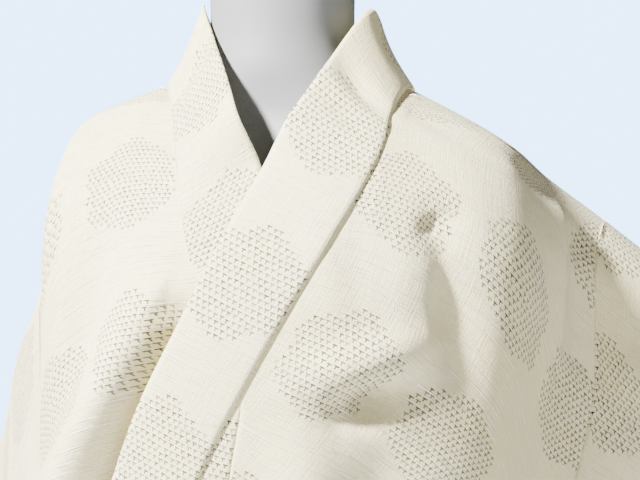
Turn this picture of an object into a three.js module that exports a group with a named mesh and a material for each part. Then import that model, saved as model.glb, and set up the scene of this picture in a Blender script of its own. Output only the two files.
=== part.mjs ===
// A woman's kimono on a limbless dress form, worn left front over right front with no sash.
// Millimetres, +Z up, the front faces -Y and the wearer's left is +X. The origin is the middle of the
// stand's underside. Every cloth piece is a thin wall worked out from one body surface: columns of cloth
// hang from the shoulder ridge, round over it, and settle onto oval sections of the body below.

import * as THREE from "three";

// ---------- driving dimensions ----------
const shoulderZ = 1500; // shoulder ridge beside the neck
const hemZ = 26;
const clothWall = 2;
const collarWall = 4; // the collar is folded double
const seamGap = 1.2; // between the middles of two pieces' edges
const neckSideX = 97; // where the shoulder ridge meets the collar
const leftSleeveShift = 0.25; // sideways from the body, so that the walls of the two clear each other
const rightSleeveShift = 1.4;
const bodyHalf = 306; // centre back to sleeve seam, along the ridge
const sleeveWidth = 294;
const sleeveDepth = 490;
const sleeveSeam = 230; // how far down the ridge a sleeve is sewn on
const sideOpening = 130; // open side below the sleeve, before the side seam
const cuffOpening = 230;
const ridgeY = 8;
const sideAngle = 76; // side seam, degrees from the middle of the front
const neckAngle = 36; // the column that starts beside the neck
const frontEdgeAngle = 60; // the free front edge below the collar, past the middle
const overlapLift = 10; // left front over right front
const collarEndDrop = 706;
const fullDrop = shoulderZ - hemZ;

// Oval sections of the worn body. front and back are depths from the middle, shift is the middle's x.
const bodySections = [
  { z: 0, width: 206, front: 154, back: 150, shift: 0 },
  { z: 500, width: 199, front: 150, back: 146, shift: 0 },
  { z: 900, width: 194, front: 150, back: 144, shift: -3 },
  { z: 1110, width: 182, front: 144, back: 128, shift: -8 },
  { z: 1270, width: 188, front: 152, back: 126, shift: -10 },
  { z: 1390, width: 189, front: 148, back: 118, shift: -5 },
  { z: 1500, width: 190, front: 134, back: 106, shift: 0 },
];
const squareness = 0.8; // below 1 the sections are fuller than an ellipse

// The ridge from beside the neck to the cuff: how steeply it falls and how far it turns back, in degrees.
const leftRidge = [
  { along: 95, slope: 25, sweep: 0 },
  { along: 150, slope: 28, sweep: 6 },
  { along: 185, slope: 33, sweep: 28 },
  { along: 205, slope: 30, sweep: 60 },
  { along: 235, slope: 28, sweep: 64 },
  { along: 262, slope: 32, sweep: 40 },
  { along: 310, slope: 37, sweep: 16 },
  { along: 420, slope: 40, sweep: 8 },
  { along: 620, slope: 42, sweep: 6 },
];
const rightRidge = [
  { along: 90, slope: 20, sweep: 0 },
  { along: 145, slope: 22, sweep: 3 },
  { along: 158, slope: 27, sweep: 8 },
  { along: 176, slope: 58, sweep: 46 },
  { along: 225, slope: 60, sweep: 46 },
  { along: 290, slope: 50, sweep: 50 },
  { along: 620, slope: 46, sweep: 48 },
];

// The neckline down the back, as shares of its width at the ridge.
const backNeckline = [
  { drop: 0, share: 1 },
  { drop: 6, share: 0.95 },
  { drop: 14, share: 0.83 },
  { drop: 24, share: 0.61 },
  { drop: 32, share: 0.33 },
  { drop: 37, share: 0 },
];
// The seam between collar and front, in each side's own place: x is above zero on the piece's own side.
const leftCollarSeam = [
  { drop: 0, x: 104 },
  { drop: 10, x: 102 },
  { drop: 35, x: 98 },
  { drop: 65, x: 88 },
  { drop: 91, x: 77 },
  { drop: 153, x: 47 },
  { drop: 197, x: 25 },
  { drop: 235, x: 6 },
  { drop: 272, x: -11 },
  { drop: 346, x: -42 },
  { drop: 430, x: -70 },
  { drop: 540, x: -96 },
  { drop: 640, x: -112 },
  { drop: collarEndDrop, x: -118 },
];
const rightCollarSeam = [
  { drop: 0, x: 90 },
  { drop: 9, x: 80 },
  { drop: 32, x: 63 },
  { drop: 68, x: 47 },
  { drop: 109, x: 32 },
  { drop: 150, x: 15 },
  { drop: 200, x: -6 },
  { drop: 250, x: -26 },
  { drop: 346, x: -57 },
  { drop: 430, x: -77 },
  { drop: 540, x: -100 },
  { drop: 640, x: -113 },
  { drop: collarEndDrop, x: -118 },
];
// The seam between a front and its overlap panel, from the panel's point on the collar seam to the hem.
const leftOverlapSeam = [
  { drop: 206, x: 20.6 },
  { drop: 271, x: 9 },
  { drop: 324, x: 3 },
  { drop: 600, x: -18 },
  { drop: fullDrop, x: -22 },
];
const rightOverlapSeam = [
  { drop: 130, x: 23.4 },
  { drop: 206, x: 12 },
  { drop: 324, x: 1 },
  { drop: 600, x: -18 },
  { drop: fullDrop, x: -22 },
];

// The collar's free edge where the band stands round the neck, against the drop of its seam: the seam is
// on the back below zero and on the front above it.
const leftStand = [
  { at: -37, x: 0, y: 86, z: 1527 },
  { at: -32, x: 32, y: 84, z: 1527 },
  { at: -24, x: 55, y: 74, z: 1529 },
  { at: -13, x: 70, y: 52, z: 1537 },
  { at: -6, x: 73, y: 34, z: 1546 },
  { at: 0, x: 74, y: 14, z: 1555 },
  { at: 3, x: 73, y: 3, z: 1558 },
  { at: 8, x: 70, y: -10, z: 1555 },
  { at: 16, x: 62, y: -28, z: 1539 },
  { at: 35, x: 45, y: -61, z: 1504 },
  { at: 60, x: 31, y: -83, z: 1477 },
];
const rightStand = [
  { at: -37, x: 0, y: 86, z: 1527 },
  { at: -32, x: 32, y: 84, z: 1527 },
  { at: -24, x: 52, y: 74, z: 1529 },
  { at: -13, x: 64, y: 52, z: 1538 },
  { at: -6, x: 66, y: 34, z: 1549 },
  { at: 0, x: 64, y: 14, z: 1560 },
  { at: 3, x: 61, y: 4, z: 1563 },
  { at: 9, x: 56, y: -9, z: 1559 },
  { at: 16, x: 47, y: -24, z: 1544 },
  { at: 32, x: 30, y: -49, z: 1521 },
  { at: 48, x: 15, y: -71, z: 1497 },
  { at: 64, x: 1, y: -90, z: 1472 },
];
// Where the band lies on the chest: its free edge, and how far down its seam is in the same row.
const leftLie = [
  { freeDrop: 56, freeX: 18, seamDrop: 84 },
  { freeDrop: 111, freeX: -4, seamDrop: 138 },
  { freeDrop: 166, freeX: -27, seamDrop: 191 },
  { freeDrop: 224, freeX: -55, seamDrop: 247 },
  { freeDrop: 279, freeX: -76, seamDrop: 303 },
  { freeDrop: 345, freeX: -101, seamDrop: 367 },
  { freeDrop: 425, freeX: -125, seamDrop: 442 },
  { freeDrop: 535, freeX: -150, seamDrop: 547 },
  { freeDrop: 636, freeX: -163, seamDrop: 642 },
  { freeDrop: collarEndDrop - 1.2, freeX: -167, seamDrop: collarEndDrop - 1.2 },
];
const rightLie = [
  { freeDrop: 52, freeX: -11, seamDrop: 84 },
  { freeDrop: 80, freeX: -24, seamDrop: 108 },
  { freeDrop: 110, freeX: -38, seamDrop: 136 },
  { freeDrop: 160, freeX: -60, seamDrop: 185 },
  { freeDrop: 215, freeX: -84, seamDrop: 240 },
  { freeDrop: 280, freeX: -104, seamDrop: 303 },
  { freeDrop: 350, freeX: -122, seamDrop: 369 },
  { freeDrop: 430, freeX: -138, seamDrop: 445 },
  { freeDrop: 535, freeX: -154, seamDrop: 547 },
  { freeDrop: 636, freeX: -164, seamDrop: 642 },
  { freeDrop: collarEndDrop - 1.2, freeX: -167, seamDrop: collarEndDrop - 1.2 },
];

// Large soft folds of the front, from one end to the other as seen from the front, for both fronts in
// their own side's place. height is outwards, so a trough is below zero.
const frontFolds = [
  { x0: -48, z0: 1332, x1: -146, z1: 1130, height: 18, width: 26 },
  { x0: -30, z0: 1335, x1: -112, z1: 1150, height: -8, width: 19 },
  { x0: 137, z0: 1412, x1: 142, z1: 1388, height: -6, width: 22 },
  { x0: 150, z0: 1400, x1: 146, z1: 1290, height: -5, width: 18 },
  { x0: 118, z0: 1404, x1: 116, z1: 1322, height: 5, width: 22 },
  { x0: 58, z0: 1292, x1: 124, z1: 1314, height: 7, width: 22 },
  { x0: 82, z0: 1260, x1: 118, z1: 1276, height: -12, width: 24 },
  { x0: 58, z0: 1252, x1: 46, z1: 1120, height: 6, width: 24 },
  { x0: 104, z0: 1240, x1: 92, z1: 1110, height: -5, width: 26 },
  { x0: 176, z0: 1436, x1: 183, z1: 1390, height: -5, width: 13 },
  { x0: 60, z0: 1110, x1: 20, z1: 760, height: 6, width: 34 },
  { x0: -60, z0: 1020, x1: -30, z1: 560, height: -5, width: 30 },
  { x0: 120, z0: 900, x1: 128, z1: 120, height: 5, width: 24 },
  { x0: -118, z0: 820, x1: -126, z1: 90, height: 5, width: 26 },
  { x0: 40, z0: 620, x1: 46, z1: 60, height: -5, width: 28 },
];
const backFolds = [
  { x0: 0, z0: 1330, x1: 0, z1: 1090, height: 6, width: 40 },
  { x0: 120, z0: 1380, x1: 40, z1: 1150, height: -6, width: 26 },
  { x0: -120, z0: 1380, x1: -40, z1: 1150, height: -6, width: 26 },
  { x0: 90, z0: 1000, x1: 104, z1: 120, height: 6, width: 30 },
  { x0: -84, z0: 980, x1: -98, z1: 80, height: 6, width: 30 },
  { x0: 10, z0: 860, x1: 6, z1: 90, height: -6, width: 34 },
];
// Folds of a sleeve: along is from the sleeve seam, drop from the ridge.
const leftSleeveFolds = [
  { a0: 20, d0: 210, a1: 140, d1: 130, height: -7, width: 26 },
  { a0: 50, d0: 460, a1: 80, d1: 260, height: 7, width: 26 },
  { a0: 160, d0: 470, a1: 184, d1: 230, height: -5, width: 28 },
];
const rightSleeveFolds = [
  { a0: 30, d0: 200, a1: 50, d1: 460, height: 7, width: 24 },
  { a0: 90, d0: 120, a1: 110, d1: 440, height: -6, width: 26 },
  { a0: 174, d0: 240, a1: 182, d1: 470, height: 6, width: 28 },
];

// Rows of cloth, as drops from the ridge.
const frontDrops = [
  5, 14, 28, 46, 68, 92, 118, 146, 176, 206, 236, 268, 302, 338, 376, 420, 470, 530, 610, 700, 820, 980,
  1160, 1330, fullDrop,
];
const backDrops = [
  3, 8, 14, 19, 24, 28, 32, 35, 37, 60, 95, 140, 190, 240, 290, 340, 400, 480, 600, 740, 920, 1120, 1300,
  fullDrop,
];
const bodyColumns = 11;

// The dress form: oval sections from its lower rim to the top of its neck. Its shoulders lie just under the
// cloth, which rests on them.
const formSections = [
  { z: 838, width: 118, front: 84, back: 84, middle: 0 },
  { z: 850, width: 150, front: 106, back: 104, middle: 0 },
  { z: 880, width: 160, front: 114, back: 112, middle: 0 },
  { z: 940, width: 162, front: 116, back: 114, middle: 0 },
  { z: 1020, width: 150, front: 108, back: 104, middle: 0 },
  { z: 1110, width: 124, front: 96, back: 92, middle: 0 },
  { z: 1190, width: 134, front: 104, back: 98, middle: 0 },
  { z: 1270, width: 150, front: 118, back: 102, middle: 0 },
  { z: 1330, width: 158, front: 112, back: 100, middle: 0 },
  { z: 1385, width: 165, front: 96, back: 92, middle: 0 },
  { z: 1425, width: 169.6, front: 76, back: 78, middle: 2 },
  { z: 1446, width: 165.2, front: 63.2, back: 65.2, middle: 4 },
  { z: 1461.2, width: 158, front: 56, back: 60, middle: 6 },
  { z: 1471.2, width: 147, front: 52, back: 57, middle: 7 },
  { z: 1483.2, width: 121, front: 50, back: 55, middle: 8 },
  { z: 1494.2, width: 90, front: 50, back: 54, middle: 8 },
  { z: 1502, width: 74, front: 51, back: 54, middle: 9 },
  { z: 1510, width: 65, front: 52, back: 54, middle: 9 },
  { z: 1522, width: 59, front: 52, back: 53, middle: 10 },
  { z: 1540, width: 56, front: 52, back: 52, middle: 12 },
  { z: 1600, width: 56, front: 52, back: 52, middle: 12 },
  { z: 1612, width: 52, front: 48, back: 48, middle: 12 },
  { z: 1617, width: 42, front: 38, back: 38, middle: 12 },
];
const poleRadius = 14;
const baseRadius = 165;
const baseThick = 8;

// ---------- small helpers ----------
const rad = Math.PI / 180;
const clamp01 = (t) => Math.min(1, Math.max(0, t));
const mix = (a, b, t) => a + (b - a) * t;
const ease = (from, to, v) => {
  const t = clamp01((v - from) / (to - from));
  return t * t * (3 - 2 * t);
};
const roundOver = (t) => Math.sqrt(Math.max(0, 1 - (1 - clamp01(t)) ** 2));

// A smooth value from a table, by a cubic through its rows.
function fromTable(table, key, column, at) {
  const last = table.length - 1;
  if (at <= table[0][key]) return table[0][column];
  if (at >= table[last][key]) return table[last][column];
  let i = 0;
  while (table[i + 1][key] < at) i++;
  const p = (n) => table[Math.min(last, Math.max(0, n))];
  const slope = (n) => {
    const a = p(n - 1);
    const b = p(n + 1);
    return (b[column] - a[column]) / (b[key] - a[key]);
  };
  const step = p(i + 1)[key] - p(i)[key];
  const t = (at - p(i)[key]) / step;
  const t2 = t * t;
  const t3 = t2 * t;
  return (
    (2 * t3 - 3 * t2 + 1) * p(i)[column] +
    (t3 - 2 * t2 + t) * step * slope(i) +
    (3 * t2 - 2 * t3) * p(i + 1)[column] +
    (t3 - t2) * step * slope(i + 1)
  );
}

// The sum of soft ridges and troughs at a place on a flat view of the cloth.
function foldHeight(folds, names, a, b) {
  let sum = 0;
  for (const fold of folds) {
    const [a0, b0, a1, b1] = names.map((n) => fold[n]);
    const da = a1 - a0;
    const db = b1 - b0;
    const along = ((a - a0) * da + (b - b0) * db) / (da * da + db * db);
    const nearest = clamp01(along);
    const off = Math.hypot(a - a0 - nearest * da, b - b0 - nearest * db);
    const end = 1 - 0.55 * (2 * nearest - 1) ** 2;
    sum += fold.height * end * Math.exp(-((off / fold.width) ** 2));
  }
  return sum;
}
const frontView = ["x0", "z0", "x1", "z1"];
const sleeveView = ["a0", "d0", "a1", "d1"];

// ---------- the shoulder ridge ----------
const ridgeStep = 5;

// Points every few millimetres from the middle of the neck to the cuff. side is 1 on the left.
function traceRidge(table) {
  const points = [new THREE.Vector3(0, ridgeY, shoulderZ)];
  for (let along = ridgeStep; along <= bodyHalf + sleeveWidth + ridgeStep; along += ridgeStep) {
    const level = along <= neckSideX;
    const slope = level ? 0 : fromTable(table, "along", "slope", along) * rad;
    const sweep = level ? 0 : fromTable(table, "along", "sweep", along) * rad;
    const flat = Math.cos(slope) * ridgeStep;
    const fall = Math.sin(slope) * ridgeStep;
    const step = new THREE.Vector3(flat * Math.cos(sweep), flat * Math.sin(sweep), -fall);
    points.push(points[points.length - 1].clone().add(step));
  }
  return points;
}

const left = {
  side: 1,
  table: leftRidge,
  ridge: traceRidge(leftRidge),
  lift: overlapLift,
  collarSeam: leftCollarSeam,
  overlapSeam: leftOverlapSeam,
  stand: leftStand,
  lie: leftLie,
  sleeveFolds: leftSleeveFolds,
  sleeveShift: leftSleeveShift,
};
const right = {
  side: -1,
  table: rightRidge,
  ridge: traceRidge(rightRidge),
  lift: 0,
  collarSeam: rightCollarSeam,
  overlapSeam: rightOverlapSeam,
  stand: rightStand,
  lie: rightLie,
  sleeveFolds: rightSleeveFolds,
  sleeveShift: rightSleeveShift,
};
left.across = right;
right.across = left;

function ridgePoint(garmentSide, along) {
  const at = Math.max(0, along) / ridgeStep;
  const i = Math.min(garmentSide.ridge.length - 2, Math.floor(at));
  return garmentSide.ridge[i].clone().lerp(garmentSide.ridge[i + 1], at - i);
}

// How far along the ridge a column starts, for an angle from the middle of the front or of the back.
function ridgeStart(angle, lastAngle) {
  const size = Math.abs(angle);
  const nearNeck = (neckSideX / Math.sin(neckAngle * rad)) * Math.sin(size * rad);
  if (size <= neckAngle) return nearNeck;
  const t = (size - neckAngle) / (lastAngle - neckAngle);
  const first = (neckSideX / Math.tan(neckAngle * rad)) * rad * (lastAngle - neckAngle);
  const share = first / (bodyHalf - neckSideX);
  return neckSideX + (bodyHalf - neckSideX) * (share * t + (1 - share) * t * t);
}

// ---------- the body surface ----------
// The angle is from the middle of the front or of the back, above zero towards the panel's own side. Past
// the middle a panel hangs like the one across from it.
function columnPlace(garmentSide, angle, lastAngle, drop) {
  const hung = angle < 0 ? garmentSide.across : garmentSide;
  const start = ridgePoint(hung, ridgeStart(angle, lastAngle));
  const z = start.z - (drop * (start.z - hemZ)) / fullDrop;
  const settle = ease(100, 470, drop);
  const width = fromTable(bodySections, "z", "width", z);
  const shift = fromTable(bodySections, "z", "shift", z) * garmentSide.side;
  const x = mix(Math.sign(angle || 1) * start.x, width * Math.sin(angle * rad) + shift, settle);
  return { x, z, middleY: mix(start.y, 0, settle) };
}

function ovalDepth(key, angle, z) {
  const c = Math.cos(angle * rad);
  return fromTable(bodySections, "z", key, z) * Math.sign(c) * Math.abs(c) ** squareness;
}

function frontPoint(garmentSide, angle, drop, lift = 0) {
  const { x, z, middleY } = columnPlace(garmentSide, angle, sideAngle, drop);
  const rounding = mix(200, 46, ease(30, sideAngle, Math.abs(angle)));
  const sideFade = 1 - ease(66, sideAngle, Math.abs(angle));
  const folds = foldHeight(frontFolds, frontView, x * garmentSide.side, z) * ease(20, 120, drop) * sideFade;
  const over = garmentSide.lift * ease(4, 56, drop) * (1 - ease(62, 74, angle));
  const out = folds + over + lift;
  const y = middleY - ovalDepth("front", angle, z) * roundOver(drop / rounding);
  const turned = ease(-20, 60, drop);
  const outX = Math.sin(angle * rad);
  const outY = -Math.cos(angle * rad) * turned;
  return new THREE.Vector3((x + outX * out) * garmentSide.side, y + outY * out, z + (1 - turned) * out);
}

function backPoint(garmentSide, angle, drop, lift = 0) {
  const lastAngle = 180 - sideAngle;
  const { x, z, middleY } = columnPlace(garmentSide, angle, lastAngle, drop);
  const closing = ease(sleeveSeam - 20, sleeveSeam + sideOpening, drop);
  const openDepth = ease(50, lastAngle, angle) * 62 * (1 - closing);
  const rounding = mix(92, 46, ease(30, lastAngle, angle));
  const fade = ease(20, 120, drop) * (1 - ease(88, lastAngle, angle));
  const out = foldHeight(backFolds, frontView, x * garmentSide.side, z) * fade + lift;
  const depth = ovalDepth(angle > 90 ? "front" : "back", angle, z) + openDepth;
  const y = middleY + depth * roundOver(drop / rounding);
  const outX = Math.sin(angle * rad);
  const outY = Math.cos(angle * rad);
  return new THREE.Vector3((x + outX * out) * garmentSide.side, y + outY * out, z);
}

// The angle of a place on the front or back that lies x from the middle.
function angleAt(garmentSide, x, drop) {
  const z = shoulderZ - drop;
  const settle = ease(100, 470, drop);
  const width = mix(neckSideX / Math.sin(neckAngle * rad), fromTable(bodySections, "z", "width", z), settle);
  const shift = fromTable(bodySections, "z", "shift", z) * garmentSide.side * settle;
  return Math.asin(Math.max(-0.98, Math.min(0.98, (x - shift) / width))) / rad;
}

// A point on the seam between collar and body, moved sideways by a share of the gap. at is the drop, below
// zero on the back.
function collarSeamPoint(garmentSide, at, move, lift = 0) {
  const onFront = at >= 0;
  const side = fromTable(garmentSide.collarSeam, "drop", "x", onFront ? at : 0);
  const share = onFront ? 1 : fromTable(backNeckline, "drop", "share", -at);
  const point = onFront ? frontPoint : backPoint;
  const drop = Math.abs(at);
  return point(garmentSide, angleAt(garmentSide, side * share + move, drop), drop, lift);
}

function frontNormal(garmentSide, angle, drop) {
  const across = frontPoint(garmentSide, angle + 0.3, drop).sub(frontPoint(garmentSide, angle - 0.3, drop));
  const down = frontPoint(garmentSide, angle, drop + 1).sub(frontPoint(garmentSide, angle, drop - 1));
  return down.cross(across).normalize();
}

// ---------- closed walls ----------
function gridNormals(rows, closed) {
  const last = rows.length - 1;
  const count = rows[0].length;
  return rows.map((row, i) =>
    row.map((p, j) => {
      const up = rows[Math.max(0, i - 1)][j];
      const down = rows[Math.min(last, i + 1)][j];
      const before = closed ? row[(j + count - 1) % count] : row[Math.max(0, j - 1)];
      const after = closed ? row[(j + 1) % count] : row[Math.min(count - 1, j + 1)];
      return down.clone().sub(up).cross(after.clone().sub(before)).normalize();
    }),
  );
}

// A wall of one thickness about a grid of points. A closed grid is a tube with both ends open.
function wallGeometry(rows, thickness, closed = false, normals = gridNormals(rows, closed)) {
  const count = rows[0].length;
  const positions = [];
  for (const face of [0.5 * thickness, -0.5 * thickness])
    rows.forEach((row, i) =>
      row.forEach((p, j) => positions.push(...p.clone().addScaledVector(normals[i][j], face).toArray())),
    );
  const inner = rows.length * count;
  const at = (i, j) => i * count + (j % count);
  const index = [];
  const quad = (a, b, c, d) => index.push(a, b, c, a, c, d);
  const strips = closed ? count : count - 1;
  for (let i = 0; i + 1 < rows.length; i++)
    for (let j = 0; j < strips; j++) {
      quad(at(i, j), at(i + 1, j), at(i + 1, j + 1), at(i, j + 1));
      quad(inner + at(i, j), inner + at(i, j + 1), inner + at(i + 1, j + 1), inner + at(i + 1, j));
    }
  const bottom = rows.length - 1;
  for (let j = 0; j < strips; j++) {
    quad(at(0, j), at(0, j + 1), inner + at(0, j + 1), inner + at(0, j));
    quad(at(bottom, j), inner + at(bottom, j), inner + at(bottom, j + 1), at(bottom, j + 1));
  }
  if (!closed)
    for (let i = 0; i < bottom; i++) {
      quad(at(i, 0), inner + at(i, 0), inner + at(i + 1, 0), at(i + 1, 0));
      quad(at(i, strips), at(i + 1, strips), inner + at(i + 1, strips), inner + at(i, strips));
    }
  return outwards(positions, index);
}

// A geometry whose faces point out, whichever way its grid ran.
function outwards(positions, index) {
  const corner = (n) => new THREE.Vector3().fromArray(positions, index[n] * 3);
  let volume = 0;
  for (let n = 0; n < index.length; n += 3) volume += corner(n).dot(corner(n + 1).cross(corner(n + 2)));
  if (volume < 0)
    for (let n = 0; n < index.length; n += 3) [index[n + 1], index[n + 2]] = [index[n + 2], index[n + 1]];
  const geometry = new THREE.BufferGeometry();
  geometry.setAttribute("position", new THREE.Float32BufferAttribute(positions, 3));
  geometry.setIndex(index);
  geometry.computeVertexNormals();
  return geometry;
}

// ---------- body panels: front and back in one length, over the shoulder ----------
function bodyPanel(garmentSide) {
  const gapAngle = seamGap / 2 / 190 / rad;
  const { collarSeam, overlapSeam } = garmentSide;
  const frontEdge = (drop) => {
    const seam = drop < overlapSeam[0].drop ? collarSeam : overlapSeam;
    return angleAt(garmentSide, fromTable(seam, "drop", "x", drop) + seamGap / 2, drop);
  };
  const backEdge = (drop) => {
    const share = drop < 37 ? fromTable(backNeckline, "drop", "share", drop) : 0;
    return angleAt(garmentSide, collarSeam[0].x * share + seamGap / 2, drop);
  };
  const row = (point, edge, lastAngle, drop) =>
    Array.from({ length: bodyColumns + 1 }, (_, j) =>
      point(garmentSide, mix(edge, lastAngle - gapAngle, j / bodyColumns), drop),
    );
  const ridgeRow = Array.from({ length: bodyColumns + 1 }, (_, j) => {
    const p = ridgePoint(garmentSide, mix(collarSeam[0].x + seamGap / 2, bodyHalf, j / bodyColumns));
    return new THREE.Vector3(p.x * garmentSide.side, p.y, p.z);
  });
  const drops = [...new Set([...frontDrops, overlapSeam[0].drop])].sort((a, b) => a - b);
  const rows = [
    ...backDrops.toReversed().map((drop) => row(backPoint, backEdge(drop), 180 - sideAngle, drop)),
    ridgeRow,
    ...drops.map((drop) => row(frontPoint, frontEdge(drop), sideAngle, drop)),
  ];
  return wallGeometry(rows, clothWall);
}

// ---------- overlap panels: from the point under the collar to the hem ----------
function overlapPanel(garmentSide) {
  const { collarSeam, overlapSeam } = garmentSide;
  const point = overlapSeam[0].drop;
  const besideCollar = [302, 338, 376, 420, 470, 530, 610, 660, collarEndDrop - 0.2];
  const below = [collarEndDrop + 1.2, 740, 820, 980, 1160, 1330, fullDrop];
  const drops = [point + 9, point + 22, point + 45, mix(point, 302, 0.75), ...besideCollar, ...below];
  const columns = 6;
  const places = drops.map((drop) => {
    const inner = angleAt(garmentSide, fromTable(overlapSeam, "drop", "x", drop) - seamGap / 2, drop);
    const seamX = fromTable(collarSeam, "drop", "x", drop) + seamGap / 2;
    const seamAngle = Math.min(angleAt(garmentSide, seamX, drop), inner - 0.3);
    const outer = drop < collarEndDrop ? seamAngle : -frontEdgeAngle;
    return Array.from({ length: columns + 1 }, (_, j) => [mix(inner, outer, j / columns), drop]);
  });
  const rows = places.map((row) => row.map(([angle, drop]) => frontPoint(garmentSide, angle, drop)));
  const normals = places.map((row) => row.map(([angle, drop]) => frontNormal(garmentSide, angle, drop)));
  return wallGeometry(rows, clothWall, false, normals);
}

// ---------- collar: one folded band from one front, round the neck, to the other ----------
const collarColumns = 4;
const standRows = [-37, -36.2, -35, -32.5, -28, -24, -19, -14, -9, -4, 0, 3, 8, 16, 26, 37, 48, 60];

function collarHalf(garmentSide) {
  const proud = (collarWall - clothWall) / 2;
  const { stand, lie } = garmentSide;
  const rows = standRows.map((at) => {
    const free = new THREE.Vector3(
      fromTable(stand, "at", "x", at) * garmentSide.side,
      fromTable(stand, "at", "y", at),
      fromTable(stand, "at", "z", at),
    );
    const seam = collarSeamPoint(garmentSide, at, at <= standRows[0] ? 0 : -seamGap / 2, proud);
    const raise = mix(2.8, 0, ease(14, 50, at));
    return bandRow(seam.addScaledVector(free.clone().sub(seam).normalize(), raise), free);
  });
  const lieSteps = 20;
  const [first, last] = [lie[0].freeDrop, lie[lie.length - 1].freeDrop];
  for (let i = 0; i <= lieSteps; i++) rows.push(lyingRow(garmentSide, mix(first, last, i / lieSteps), proud));
  return rows;
}

// A row of the band where it lies on the chest, from its seam to its free edge.
function lyingRow(garmentSide, freeDrop, proud) {
  const freeX = fromTable(garmentSide.lie, "freeDrop", "freeX", freeDrop);
  const seamDrop = fromTable(garmentSide.lie, "freeDrop", "seamDrop", freeDrop);
  const seamX = fromTable(garmentSide.collarSeam, "drop", "x", seamDrop) - seamGap / 2;
  return Array.from({ length: collarColumns + 1 }, (_, j) => {
    const t = j / collarColumns;
    const drop = mix(seamDrop, freeDrop, t);
    return frontPoint(garmentSide, angleAt(garmentSide, mix(seamX, freeX, t), drop), drop, proud);
  });
}

// A row of the band where it stands round the neck, hollowed a little between its edges at the sides.
function bandRow(seam, free) {
  const aside = Math.sign(seam.x) * Math.min(1, Math.abs(seam.x) / 60);
  const hollow = new THREE.Vector3(-aside, seam.y > 0 ? Math.abs(aside) - 1 : -0.3, 0);
  return Array.from({ length: collarColumns + 1 }, (_, j) => {
    const t = j / collarColumns;
    return seam.clone().lerp(free, t).addScaledVector(hollow, 3.4 * Math.sin(Math.PI * t));
  });
}

function collarGeometry() {
  const leftRows = collarHalf(left);
  const rightRows = collarHalf(right);
  return wallGeometry([...rightRows.toReversed(), ...leftRows.slice(1)], collarWall);
}

// ---------- sleeves: flat bags hung from the sleeve seam ----------
function sleeveGeometry(garmentSide) {
  const alongs = [seamGap, 20, 44, 74, 108, 146, 184, 222, 256, sleeveWidth - 8, sleeveWidth];
  const drops = [5, 14, 28, 46, 75, 110, 150, 190, sleeveSeam, 270, 320, 370, 420, 460, 478, 486];
  const rows = alongs.map((along) => {
    const front = drops.map((drop) => sleevePoint(garmentSide, along, drop, 1));
    const back = drops.toReversed().map((drop) => sleevePoint(garmentSide, along, drop, -1));
    const top = sleevePoint(garmentSide, along, 0, 1);
    const bottom = sleevePoint(garmentSide, along, sleeveDepth, 1);
    return [top, ...front, bottom, ...back];
  });
  return wallGeometry(rows, clothWall, true);
}

// A place on a sleeve, along from the sleeve seam and down from the ridge. face is 1 in front, -1 behind.
function sleevePoint(garmentSide, along, drop, face) {
  const sewn = Math.min(drop, sleeveSeam);
  const top = ridgePoint(garmentSide, bodyHalf);
  const seamFront = frontPoint(garmentSide, sideAngle, sewn);
  const seamBack = backPoint(garmentSide, 180 - sideAngle, sewn);
  const start = ridgePoint(garmentSide, bodyHalf + along);
  const stay = 1 - ease(0, 170, along);
  const scale = mix((top.z - hemZ) / fullDrop, 1, ease(0, 100, along));
  const driftX = (seamFront.x * garmentSide.side - top.x) * stay;
  const driftY = ((seamFront.y + seamBack.y) / 2 - top.y) * stay;
  const halfAtSeam = (seamBack.y - seamFront.y) / 2;
  const lower = roundOver((sleeveDepth - drop) / 14);
  const belowCuff = ease(cuffOpening - 20, cuffOpening + 10, drop);
  const shut = 1 - 0.88 * ease(sleeveWidth - 26, sleeveWidth - 4, along) * belowCuff;
  const halfAtCuff = 19 * roundOver(drop / 30);
  const half = mix(halfAtSeam, halfAtCuff, ease(0, 260, along)) * lower * shut;
  const turn = fromTable(garmentSide.table, "along", "sweep", bodyHalf + along) * rad * ease(0, 140, along);
  const fade = ease(0, 30, along) * ease(0, 60, drop);
  const fold = foldHeight(garmentSide.sleeveFolds, sleeveView, along, drop) * fade;
  const clear = 16 * ease(sleeveSeam - 40, 440, drop) * (1 - ease(0, 220, along));
  const out = half * face + fold;
  return new THREE.Vector3(
    (start.x + driftX + garmentSide.sleeveShift + clear + Math.sin(turn) * out) * garmentSide.side,
    start.y + driftY - Math.cos(turn) * out,
    start.z - drop * scale,
  );
}

// ---------- dress form and stand ----------
function formGeometry() {
  const around = 32;
  const levels = [
    838, 842, 850, 864, 890, 940, 1000, 1060, 1110, 1160, 1220, 1270, 1310, 1350, 1390, 1420, 1440, 1454,
    1463, 1471.2, 1477, 1483.2, 1489, 1494.2, 1502, 1510, 1522, 1540, 1600, 1612, 1617,
  ];
  const positions = [];
  for (const z of levels) {
    const size = (column) => fromTable(formSections, "z", column, z);
    for (let j = 0; j < around; j++) {
      const a = (j / around) * 2 * Math.PI;
      const depth = Math.cos(a) > 0 ? size("front") : size("back");
      positions.push(size("width") * Math.sin(a), size("middle") - depth * Math.cos(a), z);
    }
  }
  const index = [];
  for (let i = 0; i + 1 < levels.length; i++)
    for (let j = 0; j < around; j++) {
      const [a, b] = [i * around + j, i * around + ((j + 1) % around)];
      index.push(a, b, b + around, a, b + around, a + around);
    }
  const top = levels.length - 1;
  for (const [ring, z, flip] of [[0, levels[0], true], [top, levels[top], false]]) {
    const centre = positions.length / 3;
    positions.push(0, fromTable(formSections, "z", "middle", z), z);
    for (let j = 0; j < around; j++) {
      const [a, b] = [ring * around + j, ring * around + ((j + 1) % around)];
      index.push(...(flip ? [centre, b, a] : [centre, a, b]));
    }
  }
  return outwards(positions, index);
}

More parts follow.
